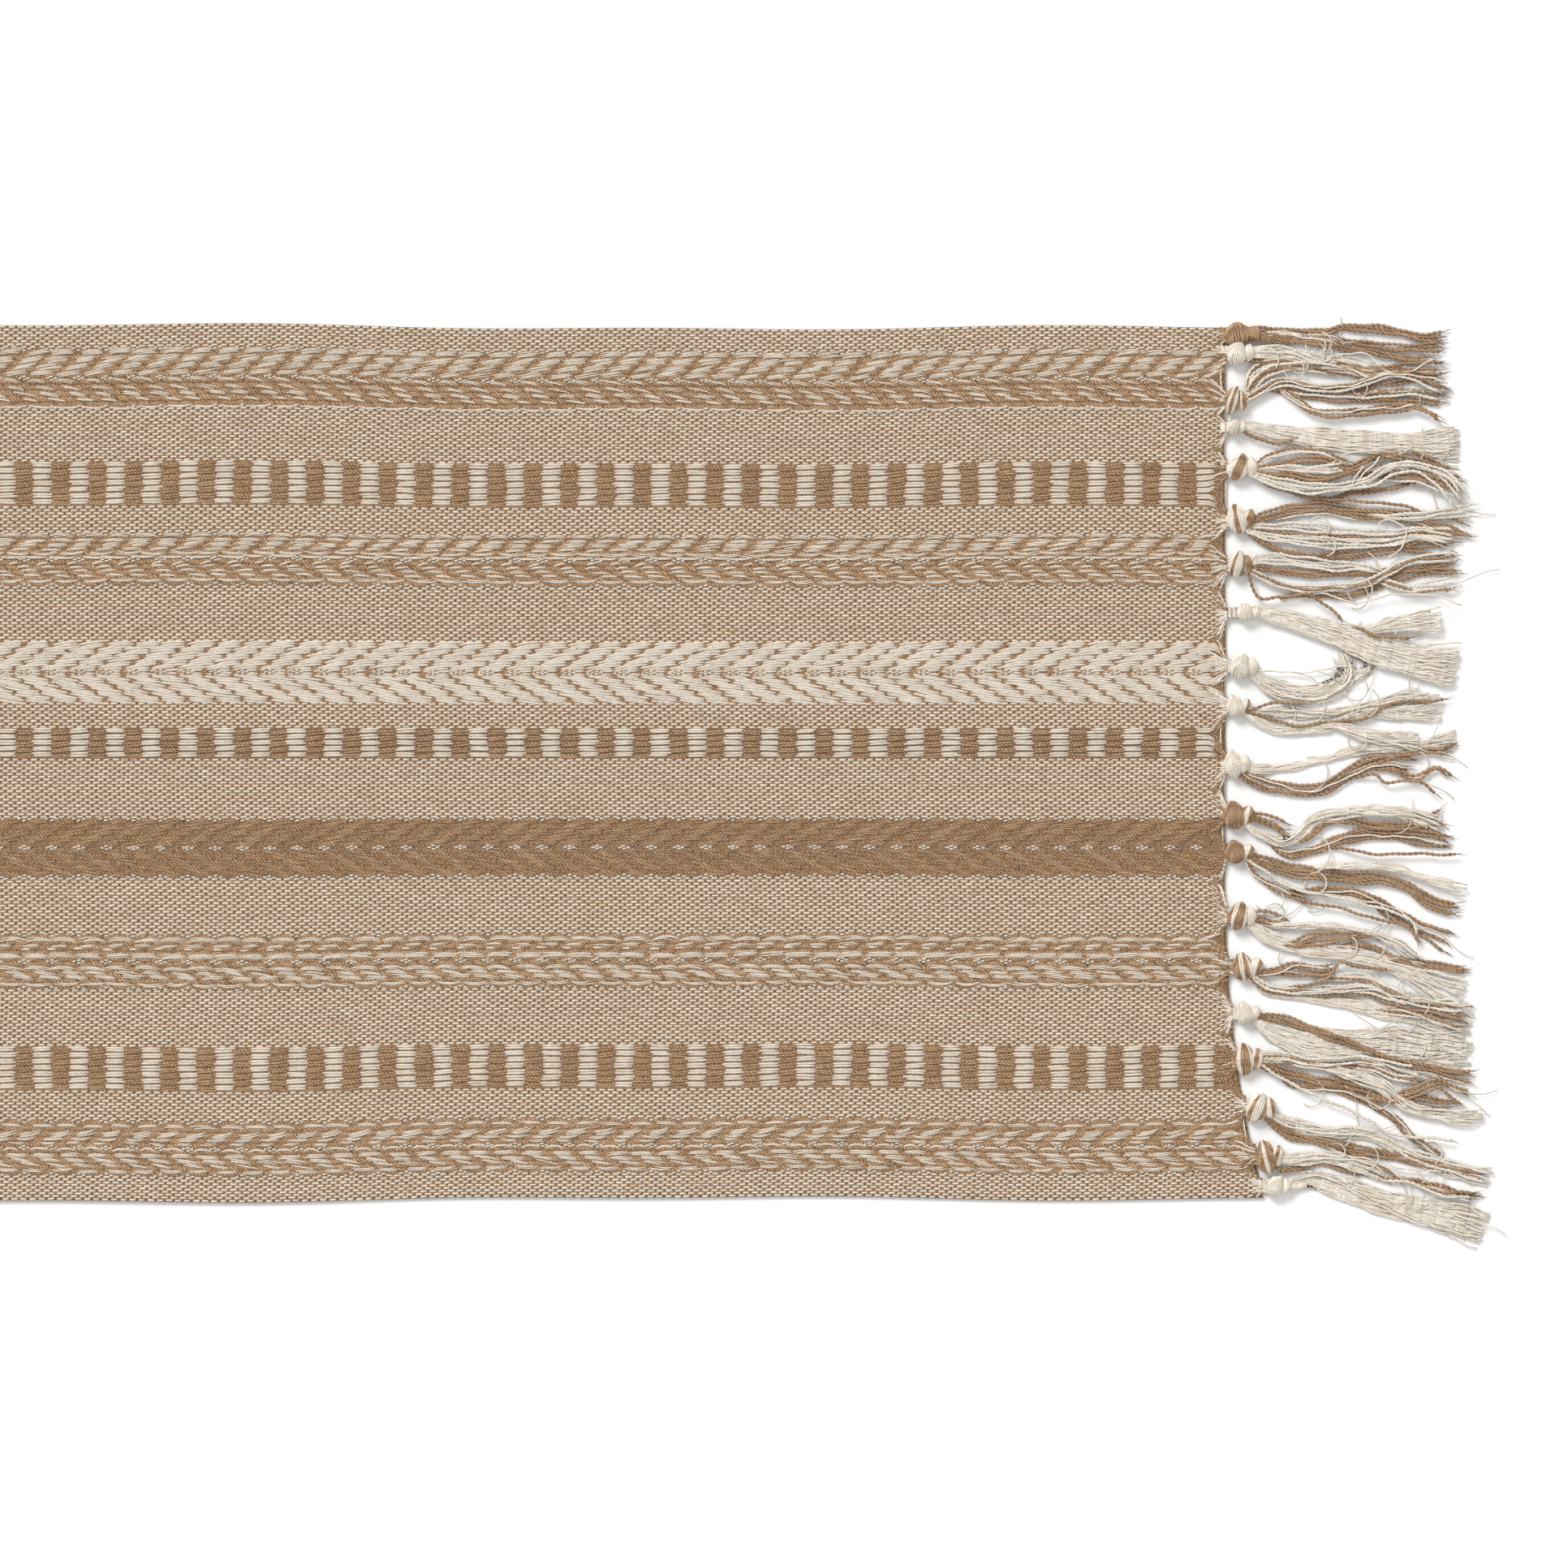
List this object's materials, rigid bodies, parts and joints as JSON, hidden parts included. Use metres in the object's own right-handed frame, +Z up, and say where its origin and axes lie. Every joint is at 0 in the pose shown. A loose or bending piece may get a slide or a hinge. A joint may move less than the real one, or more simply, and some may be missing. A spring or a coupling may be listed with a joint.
{
  "type": "table runner",
  "caption": "Long woven cotton table runner in cream and brown, patterned in lengthwise bands, with knotted tassels along both ends.",
  "frame": {"origin": "centre of the runner on the face it lies on", "axes": "+X along the runner towards the end with the leaning corner at -Y, +Y across the runner, +Z up out of its right side"},
  "size_m": [2.0708, 0.4226, 0.0083],
  "materials": {
    "ground_weave": "coarse cotton plain weave, cream warp over tan weft",
    "braid_yarn": "loose cream and brown cotton warp floats, matt",
    "check_yarn": "cream floats alternating with brown weft blocks, matt",
    "cream_float_yarn": "cream cotton point-twill floats, matt",
    "brown_float_yarn": "brown cotton point-twill floats, matt",
    "tassel_cream": "cream cotton singles and two-ply yarn, matt",
    "tassel_brown": "brown two-ply cotton yarn, matt",
    "tassel_mixed": "cream and brown two-ply cotton yarn, matt"
  },
  "bodies": {
    "centre_panel": {"ground_centre": "ground_weave", "braid_band_1_centre": "braid_yarn", "braid_band_2_centre": "braid_yarn", "braid_band_3_centre": "braid_yarn", "braid_band_4_centre": "braid_yarn", "check_band_1_centre": "check_yarn", "chevron_band_cream_centre": "cream_float_yarn", "check_band_2_centre": "check_yarn", "chevron_band_brown_centre": "brown_float_yarn", "check_band_3_centre": "check_yarn"},
    "right_drop": {"ground_right": "ground_weave", "braid_band_1_right": "braid_yarn", "braid_band_2_right": "braid_yarn", "braid_band_3_right": "braid_yarn", "braid_band_4_right": "braid_yarn"},
    "tassel_right_01": {"tassel_right_01": "tassel_brown"},
    "tassel_right_02": {"tassel_right_02": "tassel_cream"},
    "tassel_right_03": {"tassel_right_03": "tassel_mixed"},
    "tassel_right_04": {"tassel_right_04": "tassel_cream"},
    "tassel_right_05": {"tassel_right_05": "tassel_mixed"},
    "tassel_right_06": {"tassel_right_06": "tassel_mixed"},
    "tassel_right_07": {"tassel_right_07": "tassel_mixed"},
    "tassel_right_08": {"tassel_right_08": "tassel_cream"},
    "tassel_right_09": {"tassel_right_09": "tassel_cream"},
    "tassel_right_10": {"tassel_right_10": "tassel_cream"},
    "tassel_right_11": {"tassel_right_11": "tassel_cream"},
    "tassel_right_12": {"tassel_right_12": "tassel_brown"},
    "tassel_right_13": {"tassel_right_13": "tassel_brown"},
    "tassel_right_14": {"tassel_right_14": "tassel_mixed"},
    "tassel_right_15": {"tassel_right_15": "tassel_mixed"},
    "tassel_right_16": {"tassel_right_16": "tassel_cream"},
    "tassel_right_17": {"tassel_right_17": "tassel_mixed"},
    "tassel_right_18": {"tassel_right_18": "tassel_mixed"},
    "tassel_right_19": {"tassel_right_19": "tassel_brown"},
    "tassel_right_20": {"tassel_right_20": "tassel_cream"},
    "left_drop": {"ground_left": "ground_weave", "braid_band_1_left": "braid_yarn", "braid_band_2_left": "braid_yarn", "braid_band_3_left": "braid_yarn", "braid_band_4_left": "braid_yarn"},
    "tassel_left_01": {"tassel_left_01": "tassel_brown"},
    "tassel_left_02": {"tassel_left_02": "tassel_cream"},
    "tassel_left_03": {"tassel_left_03": "tassel_mixed"},
    "tassel_left_04": {"tassel_left_04": "tassel_cream"},
    "tassel_left_05": {"tassel_left_05": "tassel_mixed"},
    "tassel_left_06": {"tassel_left_06": "tassel_mixed"},
    "tassel_left_07": {"tassel_left_07": "tassel_mixed"},
    "tassel_left_08": {"tassel_left_08": "tassel_cream"},
    "tassel_left_09": {"tassel_left_09": "tassel_cream"},
    "tassel_left_10": {"tassel_left_10": "tassel_cream"},
    "tassel_left_11": {"tassel_left_11": "tassel_cream"},
    "tassel_left_12": {"tassel_left_12": "tassel_brown"},
    "tassel_left_13": {"tassel_left_13": "tassel_brown"},
    "tassel_left_14": {"tassel_left_14": "tassel_mixed"},
    "tassel_left_15": {"tassel_left_15": "tassel_mixed"},
    "tassel_left_16": {"tassel_left_16": "tassel_cream"},
    "tassel_left_17": {"tassel_left_17": "tassel_mixed"},
    "tassel_left_18": {"tassel_left_18": "tassel_mixed"},
    "tassel_left_19": {"tassel_left_19": "tassel_brown"},
    "tassel_left_20": {"tassel_left_20": "tassel_cream"}
  },
  "joints": [
    {"name": "right_fold", "type": "hinge", "parent": "centre_panel", "child": "right_drop", "pos_m": [0.762, 0, 0.0029], "axis": [0, -1, 0], "range_deg": [-90, 170]},
    {"name": "left_fold", "type": "hinge", "parent": "centre_panel", "child": "left_drop", "pos_m": [-0.762, 0, 0.0029], "axis": [0, 1, 0], "range_deg": [-90, 170]},
    {"name": "tassel_right_01_swing", "type": "hinge", "parent": "right_drop", "child": "tassel_right_01", "pos_m": [0.9144, 0.1869, 0.00075], "axis": [0, -1, 0], "range_deg": [-90, 0]},
    {"name": "tassel_right_02_swing", "type": "hinge", "parent": "right_drop", "child": "tassel_right_02", "pos_m": [0.9144, 0.1786, 0.00075], "axis": [0, -1, 0], "range_deg": [-90, 0]},
    {"name": "tassel_right_03_swing", "type": "hinge", "parent": "right_drop", "child": "tassel_right_03", "pos_m": [0.9144, 0.1579, 0.00075], "axis": [0, -1, 0], "range_deg": [-90, 0]},
    {"name": "tassel_right_04_swing", "type": "hinge", "parent": "right_drop", "child": "tassel_right_04", "pos_m": [0.9144, 0.1462, 0.00075], "axis": [0, -1, 0], "range_deg": [-90, 0]},
    {"name": "tassel_right_05_swing", "type": "hinge", "parent": "right_drop", "child": "tassel_right_05", "pos_m": [0.9144, 0.1289, 0.00075], "axis": [0, -1, 0], "range_deg": [-90, 0]},
    {"name": "tassel_right_06_swing", "type": "hinge", "parent": "right_drop", "child": "tassel_right_06", "pos_m": [0.9144, 0.1062, 0.00075], "axis": [0, -1, 0], "range_deg": [-90, 0]},
    {"name": "tassel_right_07_swing", "type": "hinge", "parent": "right_drop", "child": "tassel_right_07", "pos_m": [0.9144, 0.0864, 0.00075], "axis": [0, -1, 0], "range_deg": [-90, 0]},
    {"name": "tassel_right_08_swing", "type": "hinge", "parent": "right_drop", "child": "tassel_right_08", "pos_m": [0.9144, 0.0655, 0.00075], "axis": [0, -1, 0], "range_deg": [-90, 0]},
    {"name": "tassel_right_09_swing", "type": "hinge", "parent": "right_drop", "child": "tassel_right_09", "pos_m": [0.9144, 0.0421, 0.00075], "axis": [0, -1, 0], "range_deg": [-90, 0]},
    {"name": "tassel_right_10_swing", "type": "hinge", "parent": "right_drop", "child": "tassel_right_10", "pos_m": [0.9144, 0.0248, 0.00075], "axis": [0, -1, 0], "range_deg": [-90, 0]},
    {"name": "tassel_right_11_swing", "type": "hinge", "parent": "right_drop", "child": "tassel_right_11", "pos_m": [0.9144, -0.0004, 0.00075], "axis": [0, -1, 0], "range_deg": [-90, 0]},
    {"name": "tassel_right_12_swing", "type": "hinge", "parent": "right_drop", "child": "tassel_right_12", "pos_m": [0.9144, -0.0227, 0.00075], "axis": [0, -1, 0], "range_deg": [-90, 0]},
    {"name": "tassel_right_13_swing", "type": "hinge", "parent": "right_drop", "child": "tassel_right_13", "pos_m": [0.9144, -0.0386, 0.00075], "axis": [0, -1, 0], "range_deg": [-90, 0]},
    {"name": "tassel_right_14_swing", "type": "hinge", "parent": "right_drop", "child": "tassel_right_14", "pos_m": [0.91444, -0.0666, 0.00075], "axis": [0, -1, 0], "range_deg": [-90, 0]},
    {"name": "tassel_right_15_swing", "type": "hinge", "parent": "right_drop", "child": "tassel_right_15", "pos_m": [0.91522, -0.0887, 0.00075], "axis": [0, -1, 0], "range_deg": [-90, 0]},
    {"name": "tassel_right_16_swing", "type": "hinge", "parent": "right_drop", "child": "tassel_right_16", "pos_m": [0.9168, -0.109, 0.00075], "axis": [0, -1, 0], "range_deg": [-90, 0]},
    {"name": "tassel_right_17_swing", "type": "hinge", "parent": "right_drop", "child": "tassel_right_17", "pos_m": [0.91915, -0.129, 0.00075], "axis": [0, -1, 0], "range_deg": [-90, 0]},
    {"name": "tassel_right_18_swing", "type": "hinge", "parent": "right_drop", "child": "tassel_right_18", "pos_m": [0.9225, -0.1501, 0.00075], "axis": [0, -1, 0], "range_deg": [-90, 0]},
    {"name": "tassel_right_19_swing", "type": "hinge", "parent": "right_drop", "child": "tassel_right_19", "pos_m": [0.92681, -0.1715, 0.00075], "axis": [0, -1, 0], "range_deg": [-90, 0]},
    {"name": "tassel_right_20_swing", "type": "hinge", "parent": "right_drop", "child": "tassel_right_20", "pos_m": [0.92985, -0.1844, 0.00075], "axis": [0, -1, 0], "range_deg": [-90, 0]},
    {"name": "tassel_left_01_swing", "type": "hinge", "parent": "left_drop", "child": "tassel_left_01", "pos_m": [-0.9144, -0.1869, 0.00075], "axis": [0, 1, 0], "range_deg": [-90, 0]},
    {"name": "tassel_left_02_swing", "type": "hinge", "parent": "left_drop", "child": "tassel_left_02", "pos_m": [-0.9144, -0.1786, 0.00075], "axis": [0, 1, 0], "range_deg": [-90, 0]},
    {"name": "tassel_left_03_swing", "type": "hinge", "parent": "left_drop", "child": "tassel_left_03", "pos_m": [-0.9144, -0.1579, 0.00075], "axis": [0, 1, 0], "range_deg": [-90, 0]},
    {"name": "tassel_left_04_swing", "type": "hinge", "parent": "left_drop", "child": "tassel_left_04", "pos_m": [-0.9144, -0.1462, 0.00075], "axis": [0, 1, 0], "range_deg": [-90, 0]},
    {"name": "tassel_left_05_swing", "type": "hinge", "parent": "left_drop", "child": "tassel_left_05", "pos_m": [-0.9144, -0.1289, 0.00075], "axis": [0, 1, 0], "range_deg": [-90, 0]},
    {"name": "tassel_left_06_swing", "type": "hinge", "parent": "left_drop", "child": "tassel_left_06", "pos_m": [-0.9144, -0.1062, 0.00075], "axis": [0, 1, 0], "range_deg": [-90, 0]},
    {"name": "tassel_left_07_swing", "type": "hinge", "parent": "left_drop", "child": "tassel_left_07", "pos_m": [-0.9144, -0.0864, 0.00075], "axis": [0, 1, 0], "range_deg": [-90, 0]},
    {"name": "tassel_left_08_swing", "type": "hinge", "parent": "left_drop", "child": "tassel_left_08", "pos_m": [-0.9144, -0.0655, 0.00075], "axis": [0, 1, 0], "range_deg": [-90, 0]},
    {"name": "tassel_left_09_swing", "type": "hinge", "parent": "left_drop", "child": "tassel_left_09", "pos_m": [-0.9144, -0.0421, 0.00075], "axis": [0, 1, 0], "range_deg": [-90, 0]},
    {"name": "tassel_left_10_swing", "type": "hinge", "parent": "left_drop", "child": "tassel_left_10", "pos_m": [-0.9144, -0.0248, 0.00075], "axis": [0, 1, 0], "range_deg": [-90, 0]},
    {"name": "tassel_left_11_swing", "type": "hinge", "parent": "left_drop", "child": "tassel_left_11", "pos_m": [-0.9144, 0.0004, 0.00075], "axis": [0, 1, 0], "range_deg": [-90, 0]},
    {"name": "tassel_left_12_swing", "type": "hinge", "parent": "left_drop", "child": "tassel_left_12", "pos_m": [-0.9144, 0.0227, 0.00075], "axis": [0, 1, 0], "range_deg": [-90, 0]},
    {"name": "tassel_left_13_swing", "type": "hinge", "parent": "left_drop", "child": "tassel_left_13", "pos_m": [-0.9144, 0.0386, 0.00075], "axis": [0, 1, 0], "range_deg": [-90, 0]},
    {"name": "tassel_left_14_swing", "type": "hinge", "parent": "left_drop", "child": "tassel_left_14", "pos_m": [-0.91444, 0.0666, 0.00075], "axis": [0, 1, 0], "range_deg": [-90, 0]},
    {"name": "tassel_left_15_swing", "type": "hinge", "parent": "left_drop", "child": "tassel_left_15", "pos_m": [-0.91522, 0.0887, 0.00075], "axis": [0, 1, 0], "range_deg": [-90, 0]},
    {"name": "tassel_left_16_swing", "type": "hinge", "parent": "left_drop", "child": "tassel_left_16", "pos_m": [-0.9168, 0.109, 0.00075], "axis": [0, 1, 0], "range_deg": [-90, 0]},
    {"name": "tassel_left_17_swing", "type": "hinge", "parent": "left_drop", "child": "tassel_left_17", "pos_m": [-0.91915, 0.129, 0.00075], "axis": [0, 1, 0], "range_deg": [-90, 0]},
    {"name": "tassel_left_18_swing", "type": "hinge", "parent": "left_drop", "child": "tassel_left_18", "pos_m": [-0.9225, 0.1501, 0.00075], "axis": [0, 1, 0], "range_deg": [-90, 0]},
    {"name": "tassel_left_19_swing", "type": "hinge", "parent": "left_drop", "child": "tassel_left_19", "pos_m": [-0.92681, 0.1715, 0.00075], "axis": [0, 1, 0], "range_deg": [-90, 0]},
    {"name": "tassel_left_20_swing", "type": "hinge", "parent": "left_drop", "child": "tassel_left_20", "pos_m": [-0.92985, 0.1844, 0.00075], "axis": [0, 1, 0], "range_deg": [-90, 0]}
  ]
}
